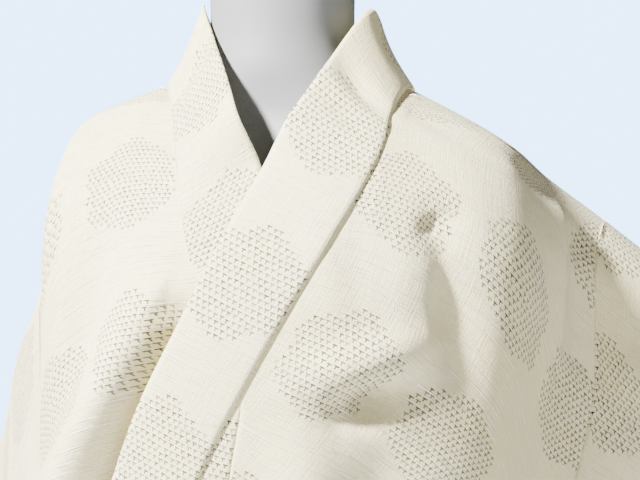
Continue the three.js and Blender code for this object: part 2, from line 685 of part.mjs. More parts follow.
// A round piece about the pole's axis, from its profile of radius and height.
function turned(profile, sides = 40) {
  const geometry = new THREE.LatheGeometry(profile.map(([r, z]) => new THREE.Vector2(r, z)), sides);
  return geometry.rotateX(Math.PI / 2);
}

const baseProfile = [
  [0, 0],
  [baseRadius, 0],
  [baseRadius, baseThick - 3],
  [baseRadius - 3, baseThick],
  [0, baseThick],
];
const poleFoot = baseThick + 0.3;
const poleTop = formSections[0].z - 0.3;
const poleProfile = [
  [0, poleFoot],
  [poleRadius, poleFoot],
  [poleRadius, poleTop],
  [0, poleTop],
];

// ---------- the assembled object ----------
const silk = { color: 0xe9e4d2, roughness: 0.72, metalness: 0 };
const shell = { color: 0xdcdcdc, roughness: 0.5, metalness: 0 };
const steel = { color: 0xc9cacb, roughness: 0.35, metalness: 0.8 };

const kimono = new THREE.Group();
function add(name, geometry, look) {
  const mesh = new THREE.Mesh(geometry, new THREE.MeshStandardMaterial({ ...look, side: THREE.DoubleSide }));
  mesh.name = name;
  kimono.add(mesh);
}

add("body_left", bodyPanel(left), silk);
add("body_right", bodyPanel(right), silk);
add("overlap_left", overlapPanel(left), silk);
add("overlap_right", overlapPanel(right), silk);
add("collar", collarGeometry(), silk);
add("sleeve_left", sleeveGeometry(left), silk);
add("sleeve_right", sleeveGeometry(right), silk);
add("dress_form", formGeometry(), shell);
add("stand_pole", turned(poleProfile, 24), steel);
add("stand_base", turned(baseProfile, 48), steel);

export default kimono;
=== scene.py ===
import math

import bpy
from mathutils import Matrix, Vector


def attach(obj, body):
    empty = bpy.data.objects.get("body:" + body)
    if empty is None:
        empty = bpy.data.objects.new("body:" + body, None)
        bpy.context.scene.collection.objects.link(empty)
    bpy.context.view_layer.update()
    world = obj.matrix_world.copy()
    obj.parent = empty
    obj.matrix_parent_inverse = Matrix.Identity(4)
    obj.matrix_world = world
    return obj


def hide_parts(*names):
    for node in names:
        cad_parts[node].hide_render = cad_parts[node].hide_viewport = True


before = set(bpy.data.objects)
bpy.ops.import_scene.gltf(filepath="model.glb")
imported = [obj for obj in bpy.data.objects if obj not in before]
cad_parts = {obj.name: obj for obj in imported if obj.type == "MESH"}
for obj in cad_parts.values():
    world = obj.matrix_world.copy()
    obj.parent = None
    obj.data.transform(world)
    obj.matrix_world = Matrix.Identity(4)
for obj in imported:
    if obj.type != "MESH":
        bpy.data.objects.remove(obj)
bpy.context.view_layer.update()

# The kimono's cloth is worked out from one body surface, as its solids are: columns of cloth hang from the
# shoulder ridge, round over it and settle onto oval sections. Shape tables are in millimetres, +Z up, the
# front faces -Y and the wearer's left is +X. buildMesh turns them into metres.

cut = {
    "shoulderZ": 1500,
    "hemZ": 26,
    "neckSideX": 97,
    "bodyHalf": 306,
    "ridgeY": 8,
    "sideAngle": 76,
    "neckAngle": 36,
    "frontEdgeAngle": 60,
    "overlapLift": 10,
    "collarEndDrop": 706,
    "sleeveWidth": 294,
    "sleeveDepth": 490,
    "sleeveSeam": 230,
    "sideOpening": 130,
    "cuffOpening": 230,
    "squareness": 0.8,
}
fullDrop = cut["shoulderZ"] - cut["hemZ"]
ridgeStep = 5


def clamp(t):
    return min(1.0, max(0.0, t))


def mix(a, b, t):
    return a + (b - a) * t


def ease(start, end, value):
    t = clamp((value - start) / (end - start))
    return t * t * (3 - 2 * t)


def roundOver(t):
    return math.sqrt(max(0.0, 1 - (1 - clamp(t)) ** 2))


# A smooth value from a table of rows, by a cubic through them. The first column is the key.
def fromTable(rows, column, at):
    last = len(rows) - 1
    if at <= rows[0][0]:
        return rows[0][column]
    if at >= rows[last][0]:
        return rows[last][column]
    i = 0
    while rows[i + 1][0] < at:
        i += 1
    before, here, there, after = rows[max(0, i - 1)], rows[i], rows[i + 1], rows[min(last, i + 2)]
    step = there[0] - here[0]
    t = (at - here[0]) / step
    slopeHere = (there[column] - before[column]) / (there[0] - before[0])
    slopeThere = (after[column] - here[column]) / (after[0] - here[0])
    return (
        (2 * t**3 - 3 * t**2 + 1) * here[column]
        + (t**3 - 2 * t**2 + t) * step * slopeHere
        + (3 * t**2 - 2 * t**3) * there[column]
        + (t**3 - t**2) * step * slopeThere
    )


# z, width, front depth, back depth, shift of the middle
bodySections = [
    (0, 206, 154, 150, 0),
    (500, 199, 150, 146, 0),
    (900, 194, 150, 144, -3),
    (1110, 182, 144, 128, -8),
    (1270, 188, 152, 126, -10),
    (1390, 189, 148, 118, -5),
    (1500, 190, 134, 106, 0),
]

# along the ridge, slope and sweep in degrees
leftRidge = [
    (95, 25, 0),
    (150, 28, 6),
    (185, 33, 28),
    (205, 30, 60),
    (235, 28, 64),
    (262, 32, 40),
    (310, 37, 16),
    (420, 40, 8),
    (620, 42, 6),
]
rightRidge = [
    (90, 20, 0),
    (145, 22, 3),
    (158, 27, 8),
    (176, 58, 46),
    (225, 60, 46),
    (290, 50, 50),
    (620, 46, 48),
]

# drop, share of the neck's width at the ridge
backNeckline = [(0, 1), (6, 0.95), (14, 0.83), (24, 0.61), (32, 0.33), (37, 0)]
neckDrop = backNeckline[-1][0]

# drop, x in the piece's own side
leftCollarSeam = [
    (0, 104),
    (10, 102),
    (35, 98),
    (65, 88),
    (91, 77),
    (153, 47),
    (197, 25),
    (235, 6),
    (272, -11),
    (346, -42),
    (430, -70),
    (540, -96),
    (640, -112),
    (706, -118),
]
rightCollarSeam = [
    (0, 90),
    (9, 80),
    (32, 63),
    (68, 47),
    (109, 32),
    (150, 15),
    (200, -6),
    (250, -26),
    (346, -57),
    (430, -77),
    (540, -100),
    (640, -113),
    (706, -118),
]
leftOverlapSeam = [(206, 20.6), (271, 9), (324, 3), (600, -18), (1474, -22)]
rightOverlapSeam = [(130, 23.4), (206, 12), (324, 1), (600, -18), (1474, -22)]

# Where the band stands round the neck: drop of its seam, below zero on the back, then its free edge.
leftStand = [
    (-37, 0, 86, 1527),
    (-32, 32, 84, 1527),
    (-24, 55, 74, 1529),
    (-13, 70, 52, 1537),
    (-6, 73, 34, 1546),
    (0, 74, 14, 1555),
    (3, 73, 3, 1558),
    (8, 70, -10, 1555),
    (16, 62, -28, 1539),
    (35, 45, -61, 1504),
    (60, 31, -83, 1477),
]
rightStand = [
    (-37, 0, 86, 1527),
    (-32, 32, 84, 1527),
    (-24, 52, 74, 1529),
    (-13, 64, 52, 1538),
    (-6, 66, 34, 1549),
    (0, 64, 14, 1560),
    (3, 61, 4, 1563),
    (9, 56, -9, 1559),
    (16, 47, -24, 1544),
    (32, 30, -49, 1521),
    (48, 15, -71, 1497),
    (64, 1, -90, 1472),
]
# Where it lies on the chest: drop and x of its free edge, and the drop of its seam in the same row.
leftLie = [
    (56, 18, 84),
    (111, -4, 138),
    (166, -27, 191),
    (224, -55, 247),
    (279, -76, 303),
    (345, -101, 367),
    (425, -125, 442),
    (535, -150, 547),
    (636, -163, 642),
    (704.8, -167, 704.8),
]
rightLie = [
    (52, -11, 84),
    (80, -24, 108),
    (110, -38, 136),
    (160, -60, 185),
    (215, -84, 240),
    (280, -104, 303),
    (350, -122, 369),
    (430, -138, 445),
    (535, -154, 547),
    (636, -164, 642),
    (704.8, -167, 704.8),
]

# Soft ridges and troughs seen from the front: both ends, height outwards, and the widths of the flanks on
# the viewer's left and right as the line runs down.
frontFolds = [
    (134, 1412, 140, 1394, -17, 13, 13),
    (146, 1388, 150, 1300, -12, 12, 17),
    (112, 1404, 112, 1330, 5, 18, 18),
    (58, 1300, 126, 1322, 12, 20, 15),
    (84, 1278, 116, 1289, -21, 13, 12),
    (58, 1252, 46, 1120, 9, 22, 20),
    (104, 1240, 92, 1110, -9, 22, 22),
    (172, 1440, 180, 1392, -4, 11, 10),
    (188, 1420, 190, 1340, 5, 8, 8),
    (60, 1110, 20, 760, 9, 32, 28),
    (-60, 1020, -30, 560, -8, 28, 28),
    (120, 900, 128, 120, 8, 22, 24),
    (-118, 820, -126, 90, 8, 24, 26),
    (40, 620, 46, 60, -8, 26, 28),
    (-104, 1400, -112, 1290, -5, 15, 15),
    (-132, 1380, -142, 1250, 5, 13, 13),
    (20, 1216, -10, 1050, -6, 15, 15),
    (84, 1060, 72, 800, -6, 17, 18),
    (-20, 860, -10, 420, 6, 20, 22),
    (82, 700, 88, 140, 6, 17, 18),
    (60, 1400, 78, 1340, 3, 14, 14),
    (88, 1452, 128, 1440, -3, 9, 9),
]
# The right front swells and then dives under the left collar.
rightFrontFolds = [
    (-57, 1328, -153, 1130, 28, 28, 14),
    (-33, 1336, -89, 1165, -30, 15, 15),
]
# Where the left shoulder turns down, the cloth hangs from an upright fold and falls away beyond it.
shoulderFolds = [
    (208, 1444, 208, 1296, 11, 24, 6),
    (228, 1434, 230, 1290, -7, 8, 15),
    (112, 1480, 190, 1441, -12, 4, 6),
]
backFolds = [
    (0, 1330, 0, 1090, 6, 40, 40),
    (120, 1380, 40, 1150, -7, 24, 26),
    (-120, 1380, -40, 1150, -7, 26, 24),
    (90, 1000, 104, 120, 7, 28, 28),
    (-84, 980, -98, 80, 7, 28, 28),
    (10, 860, 6, 90, -7, 32, 30),
    (60, 1420, 96, 1300, 4, 18, 18),
    (-66, 1416, -92, 1290, 4, 18, 18),
    (48, 1060, 58, 620, -4, 20, 20),
    (-44, 900, -54, 300, 4, 20, 20),
    (140, 900, 146, 300, -4, 18, 18),
    (-142, 860, -146, 260, -4, 18, 18),
]
# Folds of a sleeve: along from its seam and drop from the ridge at both ends, height, flank widths.
leftSleeveFolds = [
    (20, 210, 140, 130, -8, 20, 24),
    (10, 120, 90, 50, 5, 14, 20),
    (50, 460, 80, 260, 7, 24, 24),
    (160, 470, 184, 230, -6, 26, 26),
    (206, 120, 246, 420, 5, 22, 22),
    (110, 300, 124, 470, -4, 18, 18),
]
rightSleeveFolds = [
    (30, 200, 50, 460, 7, 24, 24),
    (90, 120, 110, 440, -7, 24, 24),
    (174, 240, 182, 470, 6, 26, 26),
    (130, 90, 216, 200, 5, 22, 22),
    (236, 200, 256, 440, -4, 18, 18),
]


def foldHeight(folds, a, b):
    total = 0.0
    for a0, b0, a1, b1, height, leftWidth, rightWidth in folds:
        da, db = a1 - a0, b1 - b0
        offA, offB = a - a0, b - b0
        nearest = clamp((offA * da + offB * db) / (da * da + db * db))
        across = (offA - nearest * da) ** 2 + (offB - nearest * db) ** 2
        width = rightWidth if da * offB - db * offA > 0 else leftWidth
        if across < 9 * width * width:
            total += height * (1 - 0.55 * (2 * nearest - 1) ** 2) * math.exp(-across / (width * width))
    return total


# Points at even steps from the middle of the neck to just beyond the cuff.
def traceRidge(rows):
    points = [Vector((0, cut["ridgeY"], cut["shoulderZ"]))]
    for i in range(1, (cut["bodyHalf"] + cut["sleeveWidth"]) // ridgeStep + 3):
        along = i * ridgeStep
        level = along <= cut["neckSideX"]
        slope = 0 if level else math.radians(fromTable(rows, 1, along))
        sweep = 0 if level else math.radians(fromTable(rows, 2, along))
        flat = math.cos(slope) * ridgeStep
        fall = math.sin(slope) * ridgeStep
        points.append(points[-1] + Vector((flat * math.cos(sweep), flat * math.sin(sweep), -fall)))
    return points


left = {
    "side": 1,
    "sweeps": leftRidge,
    "ridge": traceRidge(leftRidge),
    "lift": cut["overlapLift"],
    "collarSeam": leftCollarSeam,
    "overlapSeam": leftOverlapSeam,
    "stand": leftStand,
    "lie": leftLie,
    "sleeveFolds": leftSleeveFolds,
    "sleeveShift": 0.25,
    "ownFolds": [],
    "shoulderFolds": shoulderFolds,
}
right = {
    "side": -1,
    "sweeps": rightRidge,
    "ridge": traceRidge(rightRidge),
    "lift": 0,
    "collarSeam": rightCollarSeam,
    "overlapSeam": rightOverlapSeam,
    "stand": rightStand,
    "lie": rightLie,
    "sleeveFolds": rightSleeveFolds,
    "sleeveShift": 1.4,
    "ownFolds": rightFrontFolds,
    "shoulderFolds": [],
}
left["across"] = right
right["across"] = left


def ridgePoint(half, along):
    at = max(0.0, along) / ridgeStep
    i = min(len(half["ridge"]) - 2, int(at))
    return half["ridge"][i].lerp(half["ridge"][i + 1], at - i)


# How far along the ridge a column starts, for its angle from the middle of the front or back.
def ridgeStart(angle, lastAngle):
    size = abs(angle)
    neck = math.radians(cut["neckAngle"])
    if size <= cut["neckAngle"]:
        return cut["neckSideX"] / math.sin(neck) * math.sin(math.radians(size))
    t = (size - cut["neckAngle"]) / (lastAngle - cut["neckAngle"])
    first = cut["neckSideX"] / math.tan(neck) * math.radians(lastAngle - cut["neckAngle"])
    share = first / (cut["bodyHalf"] - cut["neckSideX"])
    return cut["neckSideX"] + (cut["bodyHalf"] - cut["neckSideX"]) * (share * t + (1 - share) * t * t)


def columnPlace(half, angle, lastAngle, drop):
    hung = half["across"] if angle < 0 else half
    start = ridgePoint(hung, ridgeStart(angle, lastAngle))
    z = start.z - drop * (start.z - cut["hemZ"]) / fullDrop
    settle = ease(100, 470, drop)
    shift = fromTable(bodySections, 4, z) * half["side"]
    settled = fromTable(bodySections, 1, z) * math.sin(math.radians(angle)) + shift
    x = mix(math.copysign(start.x, angle), settled, settle)
    return x, z, mix(start.y, 0, settle)


def ovalDepth(column, angle, z):
    c = math.cos(math.radians(angle))
    return fromTable(bodySections, column, z) * math.copysign(abs(c) ** cut["squareness"], c)


def frontPoint(half, angle, drop, lift=0.0, folded=True):
    x, z, middleY = columnPlace(half, angle, cut["sideAngle"], drop)
    rounding = mix(200, 46, ease(30, cut["sideAngle"], abs(angle)))
    out = lift + half["lift"] * ease(4, 56, drop) * (1 - ease(62, 74, angle))
    if folded:
        fade = ease(20, 120, drop) * (1 - ease(66, cut["sideAngle"], abs(angle)))
        out += foldHeight(frontFolds + half["ownFolds"], x * half["side"], z) * fade
        out += foldHeight(half["shoulderFolds"], x * half["side"], z) * ease(3, 26, drop)
    y = middleY - ovalDepth(2, angle, z) * roundOver(drop / rounding)
    turned = ease(-20, 60, drop)
    outX = math.sin(math.radians(angle))
    outY = -math.cos(math.radians(angle)) * turned
    return Vector(((x + outX * out) * half["side"], y + outY * out, z + (1 - turned) * out))


def backPoint(half, angle, drop, lift=0.0, folded=True):
    lastAngle = 180 - cut["sideAngle"]
    x, z, middleY = columnPlace(half, angle, lastAngle, drop)
    closing = ease(cut["sleeveSeam"] - 20, cut["sleeveSeam"] + cut["sideOpening"], drop)
    openDepth = ease(50, lastAngle, angle) * 62 * (1 - closing)
    rounding = mix(92, 46, ease(30, lastAngle, angle))
    out = lift
    if folded:
        fade = ease(20, 120, drop) * (1 - ease(88, lastAngle, angle))
        out += foldHeight(backFolds, x * half["side"], z) * fade
    depth = ovalDepth(2 if angle > 90 else 3, angle, z) + openDepth
    y = middleY + depth * roundOver(drop / rounding)
    outX = math.sin(math.radians(angle))
    outY = math.cos(math.radians(angle))
    return Vector(((x + outX * out) * half["side"], y + outY * out, z))


# The angle of a place on the front or back that lies x from the middle.
def angleAt(half, x, drop):
    settle = ease(100, 470, drop)
    z = cut["shoulderZ"] - drop
    hanging = cut["neckSideX"] / math.sin(math.radians(cut["neckAngle"]))
    width = mix(hanging, fromTable(bodySections, 1, z), settle)
    shift = fromTable(bodySections, 4, z) * half["side"] * settle
    return math.degrees(math.asin(max(-0.98, min(0.98, (x - shift) / width))))


def collarSeamPoint(half, at, move, lift=0.0):
    side = fromTable(half["collarSeam"], 1, max(0, at))
    if at >= 0:
        return frontPoint(half, angleAt(half, side + move, at), at, lift)
    share = fromTable(backNeckline, 1, -at)
    return backPoint(half, angleAt(half, side * share + move, -at), -at, lift)


# Spaced values, with steps that grow from the first to the second size.
def spaced(start, end, firstStep, lastStep):
    values = [start]
    while values[-1] < end:
        reached = (values[-1] - start) / (end - start)
        values.append(values[-1] + mix(firstStep, lastStep, reached))
    values[-1] = end
    return values


# Shares from 0 to 1 across a panel, closer together beside its edges.
def panelShares(count, edge=(0.0, 0.0035, 0.009, 0.018, 0.032)):
    middle = [mix(edge[-1], 1 - edge[-1], i / count) for i in range(1, count)]
    return list(edge) + middle + [1 - e for e in reversed(edge)]


def gridNormals(rows):
    last = len(rows) - 1
    count = len(rows[0])
    normals = []
    for i, row in enumerate(rows):
        line = []
        for j in range(count):
            down = rows[min(last, i + 1)][j] - rows[max(0, i - 1)][j]
            aside = row[min(count - 1, j + 1)] - row[max(0, j - 1)]
            line.append(down.cross(aside).normalized())
        normals.append(line)
    return normals


def addObject(name, data):
    made = bpy.data.objects.new(name, data)
    bpy.context.scene.collection.objects.link(made)
    return made


# A mesh from a grid of points in millimetres. cloth has the place of each point on its flat cloth, with one
# more column than the points where the grid closes on itself.
def buildMesh(name, rows, cloth, closed=False, outside=None):
    count = len(rows[0])
    points = [p * 0.001 for row in rows for p in row]
    faces, places = [], []
    for i in range(len(rows) - 1):
        for j in range(count if closed else count - 1):
            k = (j + 1) % count
            faces.append((i * count + j, (i + 1) * count + j, (i + 1) * count + k, i * count + k))
            places.append((cloth[i][j], cloth[i + 1][j], cloth[i + 1][j + 1], cloth[i][j + 1]))
    middle = Vector((0, 0, 0.9)) if outside is None else outside
    facing = 0.0
    for face in faces:
        a, b, c, d = (points[n] for n in face)
        facing += (c - a).cross(d - b).dot((a + c) / 2 - Vector((middle.x, middle.y, (a.z + c.z) / 2)))
    if facing < 0:
        faces = [tuple(reversed(face)) for face in faces]
        places = [tuple(reversed(place)) for place in places]
    mesh = bpy.data.meshes.new(name)
    mesh.from_pydata(points, [], faces)
    layer = mesh.attributes.new("cloth", "FLOAT_VECTOR", "CORNER")
    flat = [value for place in places for u, v in place for value in (u * 0.001, v * 0.001, 0.0)]
    layer.data.foreach_set("vector", flat)
    mesh.polygons.foreach_set("use_smooth", [True] * len(faces))
    mesh.update()
    return addObject(name, mesh)


# Running distance along a line of points.
def reachAlong(points):
    reach = [0.0]
    for before, here in zip(points, points[1:]):
        reach.append(reach[-1] + (here - before).length)
    return reach


# Places on the flat cloth of a grid of unfolded points: distances along its rows from the last column, or
# from the first, and down its columns from one row.
def flatPlaces(rows, topRow, startV=0.0, fromLast=True):
    count = len(rows[0])
    across = []
    for row in rows:
        reach = reachAlong(row)
        across.append([reach[-1] - r if fromLast else r for r in reach])
    down = [[0.0] * count for _ in rows]
    for i in range(topRow + 1, len(rows)):
        down[i] = [down[i - 1][j] + (rows[i][j] - rows[i - 1][j]).length for j in range(count)]
    for i in range(topRow - 1, -1, -1):
        down[i] = [down[i + 1][j] - (rows[i][j] - rows[i + 1][j]).length for j in range(count)]
    return [[(across[i][j], down[i][j] + startV) for j in range(count)] for i in range(len(rows))]


def thicken(piece, thickness):
    solid = piece.modifiers.new("clothThickness", "SOLIDIFY")
    solid.thickness = thickness
    solid.offset = 0
    solid.use_rim = True


# The hexagons of resist-dyed marks, in metres on the flat cloth.
motifShape = {
    "acrossFlats": 0.080,
    "columnStep": 0.103,
    "repeat": 0.137,
    "markAcross": 0.0049,
    "markDown": 0.0044,
}

# ---------- body panels, each in one length over the shoulder ----------
bodyPanel = {
    "columns": 78,
    "meanRadius": 190,
    "lean": 0.30,
    "tilt": 0.23,
    "seamTuck": 1.5,
    "seamRound": 2.6,
    "underCollar": 3.0,
    "thickness": 0.0014,
    "leftMotif": (176.0, 187.5),
    "rightMotif": (194.0, 198.0),
}
frontDrops = [0.4, 1.1, 2.1, 3.4, 5, 7, 9.4, 12.2, 15.4, 19, 23, 27.5, 32.5]
frontDrops += spaced(38, 560, 5.6, 9) + spaced(572, fullDrop, 12, 22)
backDrops = [0.6, 1.6, 3, 5, 7.5, 10.5, 14, 17, 20, 23, 26, 28.5, 31, 33, 35, neckDrop]
backDrops += spaced(42, 560, 7, 12) + spaced(576, fullDrop, 15, 26)


# How far an edge rolls in, at a distance from it.
def rollIn(distance, depth, reach):
    return depth * (1 - roundOver(distance / reach))


# On the chest the fronts are drawn in to the middle, so their grain leans there. The result is measured
# from the centre of one hexagon.
def leanGrain(u, v, motif):
    leaning = ease(0, 60, v) * (1 - ease(420, 760, v))
    lean = bodyPanel["lean"] * (min(v, 420) + 150 * ease(420, 760, v)) if v > 0 else 0
    return u - lean - motif[0], v + bodyPanel["tilt"] * u * leaning - motif[1]


def bodyPiece(half, motif):
    collarSeam, overlapSeam = half["collarSeam"], half["overlapSeam"]
    shares = panelShares(bodyPanel["columns"])
    under = bodyPanel["underCollar"]
    lastFront, lastBack = cut["sideAngle"], 180 - cut["sideAngle"]

    def frontEdge(drop):
        if drop < overlapSeam[0][0]:
            return angleAt(half, fromTable(collarSeam, 1, drop) - under, drop)
        inset = mix(-under, 0.3, ease(overlapSeam[0][0], overlapSeam[0][0] + 24, drop))
        return angleAt(half, fromTable(overlapSeam, 1, drop) + inset, drop)

    def backEdge(drop):
        share = fromTable(backNeckline, 1, drop) if drop < neckDrop else 0
        return angleAt(half, collarSeam[0][1] * share + (0.3 if drop >= neckDrop else -0.5), drop)

    def row(point, edge, last, drop, folded):
        line = []
        for share in shares:
            angle = mix(edge, last + 0.25, share)
            wide = math.radians(abs(last - edge)) * bodyPanel["meanRadius"]
            tuck = rollIn(share * wide, bodyPanel["seamTuck"], bodyPanel["seamRound"])
            tuck += rollIn((1 - share) * wide, bodyPanel["seamTuck"], bodyPanel["seamRound"])
            line.append(point(half, angle, drop, -tuck * ease(0, 30, drop), folded))
        return line

    def grid(folded):
        top = []
        for share in shares:
            p = ridgePoint(half, mix(collarSeam[0][1] - under, cut["bodyHalf"] - 0.4, share))
            top.append(Vector((p.x * half["side"], p.y, p.z)))
        rows = [row(backPoint, backEdge(d), lastBack, d, folded) for d in reversed(backDrops)]
        rows.append(top)
        rows += [row(frontPoint, frontEdge(d), lastFront, d, folded) for d in frontDrops]
        return rows

    name = "bodyLeft" if half is left else "bodyRight"
    cloth = [[leanGrain(u, v, motif) for u, v in row] for row in flatPlaces(grid(False), len(backDrops))]
    piece = buildMesh(name, grid(True), cloth)
    thicken(piece, bodyPanel["thickness"])
    return piece


bodyLeft = bodyPiece(left, bodyPanel["leftMotif"])
bodyRight = bodyPiece(right, bodyPanel["rightMotif"])
print("body panels", len(bodyLeft.data.polygons), len(bodyRight.data.polygons))

# ---------- overlap panels, from the point under the collar to the hem ----------
overlapPanel = {
    "columns": 24,
    "thickness": 0.0014,
}


def overlapPiece(half):
    collarSeam, overlapSeam = half["collarSeam"], half["overlapSeam"]
    shares = panelShares(overlapPanel["columns"], (0.0, 0.01, 0.024, 0.045))
    top = overlapSeam[0][0]
    endDrop = cut["collarEndDrop"]
    drops = spaced(top + 1, endDrop - 0.2, 7, 10) + spaced(endDrop + 1.2, fullDrop, 8, 22)

    def row(drop, folded):
        inner = angleAt(half, fromTable(overlapSeam, 1, drop) - 0.3, drop)
        seamX = fromTable(collarSeam, 1, drop) - bodyPanel["underCollar"]
        outer = min(angleAt(half, seamX, drop), inner - 0.3)
        if drop >= endDrop:
            outer = -cut["frontEdgeAngle"]
        wide = math.radians(abs(inner - outer)) * bodyPanel["meanRadius"]
        line = []
        for share in shares:
            tuck = rollIn(share * wide, bodyPanel["seamTuck"], bodyPanel["seamRound"])
            tuck = min(tuck, wide * 0.2)
            line.append(frontPoint(half, mix(inner, outer, share), drop, -tuck, folded))
        return line

    name = "overlapLeft" if half is left else "overlapRight"
    plain = [row(d, False) for d in drops]
    cloth = flatPlaces(plain, 0, top, fromLast=False)
    piece = buildMesh(name, [row(d, True) for d in drops], cloth)
    thicken(piece, overlapPanel["thickness"])
    return piece


overlapLeft = overlapPiece(left)
overlapRight = overlapPiece(right)
print("overlap panels", len(overlapLeft.data.polygons), len(overlapRight.data.polygons))

# ---------- collar, one band folded double from one front round the neck to the other ----------
collarBand = {
    "columns": 16,
    "thickness": 2.6,
    "edgeRound": 1.4,
    "seamRaise": 0.6,
    "rowStep": 5.0,
    "middle": 38.0,
    "hollow": 3.4,
    "leftCentre": 246.0,
    "rightCentre": -215.0,
    "rightStretch": 1.14,
    "repeatsRound": 4,
}
standRows = [-neckDrop, -36.2, -35, -32.5, -28, -24, -19, -14, -9, -4, 0, 3, 8, 16, 26, 37, 48, 60]


def bandRow(seam, free):
    aside = math.copysign(min(1, abs(seam.x) / 60), seam.x)
    hollow = Vector((-aside, abs(aside) - 1 if seam.y > 0 else -0.3, 0))
    count = collarBand["columns"]
    line = []
    for j in range(count + 1):
        sag = collarBand["hollow"] * math.sin(math.pi * j / count)
        line.append(seam.lerp(free, j / count) + hollow * sag)
    return line


def lyingRow(half, freeDrop):
    freeX = fromTable(half["lie"], 1, freeDrop)
    seamDrop = fromTable(half["lie"], 2, freeDrop)
    seamX = fromTable(half["collarSeam"], 1, seamDrop) - 0.6
    line = []
    for j in range(collarBand["columns"] + 1):
        t = j / collarBand["columns"]
        drop = mix(seamDrop, freeDrop, t)
        raised = 1.0 + collarBand["seamRaise"] * (1 - ease(0, 0.75, t))
        line.append(frontPoint(half, angleAt(half, mix(seamX, freeX, t), drop), drop, raised))
    return line


def collarHalf(half):
    rows = []
    for at in standRows:
        free = Vector((fromTable(half["stand"], i, at) for i in (1, 2, 3)))
        free.x *= half["side"]
        seam = collarSeamPoint(half, at, 0 if at <= standRows[0] else -0.6, 1.0)
        rise = mix(2.8, 0, ease(14, 50, at))
        seam = seam + (free - seam).normalized() * rise
        seam.y -= collarBand["seamRaise"] * 0.8 * ease(10, 60, at)
        rows.append(bandRow(seam, free))
    first, last = half["lie"][0][0], half["lie"][-1][0]
    steps = 44
    return rows + [lyingRow(half, mix(first, last, i / steps)) for i in range(steps + 1)]


# Rows between those given, on a cubic through them.
def smoothRows(rows, step):
    made = []
    last = len(rows) - 1
    for i in range(last):
        a, b, c, d = rows[max(0, i - 1)], rows[i], rows[i + 1], rows[min(last, i + 2)]
        half = len(b) // 2
        count = max(1, round((c[half] - b[half]).length / step))
        for k in range(count):
            t = k / count
            made.append(
                [
                    q + 0.5 * t * (r - p + t * (2 * p - 5 * q + 4 * r - s + t * (3 * (q - r) + s - p)))
                    for p, q, r, s in zip(a, b, c, d)
                ]
            )
    made.append(rows[-1])
    return made


# Where the band gives as it turns down onto the chest: place along it and across it, height, and the reach
# of the bend both ways.
collarBends = [
    (203, -4, -7, 10, 26),
    (220, 4, 2, 8, 22),
    (234, -3, -3, 7, 22),
    (-186, -2, -5, 9, 24),
    (-163, 3, 2, 9, 22),
]


def bendHeight(along, across):
    return sum(
        height * math.exp(-(((along - a) / reachA) ** 2) - ((across - b) / reachB) ** 2)
        for a, b, height, reachA, reachB in collarBends
    )


# Along the band, from the centre of a hexagon on each side, which lie whole repeats apart.
def collarPlace(v):
    onLeft = v - collarBand["leftCentre"]
    apart = collarBand["repeatsRound"] * motifShape["repeat"] * 1000
    onRight = (v - collarBand["rightCentre"]) * collarBand["rightStretch"] - apart
    return mix(onLeft, onRight, 1 - ease(-110, 10, v))


def collarPiece():
    rows = list(reversed(collarHalf(right))) + collarHalf(left)[1:]
    rows = smoothRows(rows, collarBand["rowStep"])
    normals = gridNormals(rows)
    count = len(rows[0])
    outward = normals[len(rows) // 2][count // 2].y
    along = reachAlong([row[count // 2] for row in rows])
    centre = along[min(range(len(rows)), key=lambda i: abs(rows[i][0].x) - rows[i][0].y)]
    rings, cloth = [], []
    for i, row in enumerate(rows):
        reach = reachAlong(row)
        wide = reach[-1]
        ring, places = [], []
        for face in (1, -1):
            order = range(count) if face > 0 else range(count - 1, -1, -1)
            for j in order:
                edge = min(reach[j], wide - reach[j])
                half = collarBand["thickness"] / 2 * roundOver((edge + 0.35) / collarBand["edgeRound"])
                out = half * face + bendHeight(along[i] - centre, reach[j] - collarBand["middle"])
                ring.append(row[j] + normals[i][j] * (out * math.copysign(1, outward)))
                places.append((reach[j] - collarBand["middle"], collarPlace(along[i] - centre)))
        places.append(places[0])
        rings.append(ring)
        cloth.append(places)
    return buildMesh("collarBand", rings, cloth, closed=True)


collar = collarPiece()
print("collar", len(collar.data.polygons))

# ---------- sleeves, flat bags hung from the sleeve seam ----------
sleeveBag = {
    "hemRound": 14,
    "cuffHalf": 19,
    "thickness": 0.0014,
    "leftMotif": (12.0, 148.0),
    "rightMotif": (60.0, 90.0),
}


